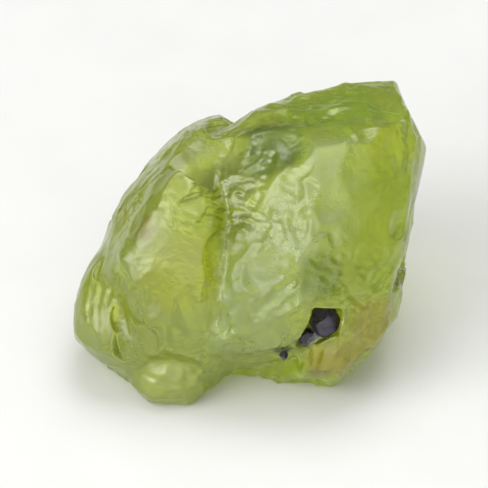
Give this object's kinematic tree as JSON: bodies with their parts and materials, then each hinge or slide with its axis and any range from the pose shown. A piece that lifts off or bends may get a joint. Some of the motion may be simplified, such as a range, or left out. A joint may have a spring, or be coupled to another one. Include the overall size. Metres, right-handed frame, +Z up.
{
  "type": "rough peridot crystal",
  "caption": "Rough peridot crystal: a clear yellow-green lump with broken faces, a pit with a dark grain, and a flat face below to rest on.",
  "frame": {"origin": "under the middle of the crystal's breadth and depth, on the surface it rests on", "axes": "+X to the right along its greatest breadth, -Y to the front, the side that the picture shows, +Z up"},
  "size_m": [0.0106, 0.0092, 0.0078],
  "materials": {
    "peridot": "clear yellow-green crystal, glossy on its fracture faces"
  },
  "bodies": {
    "root": {"peridot_crystal": "peridot"}
  },
  "joints": []
}
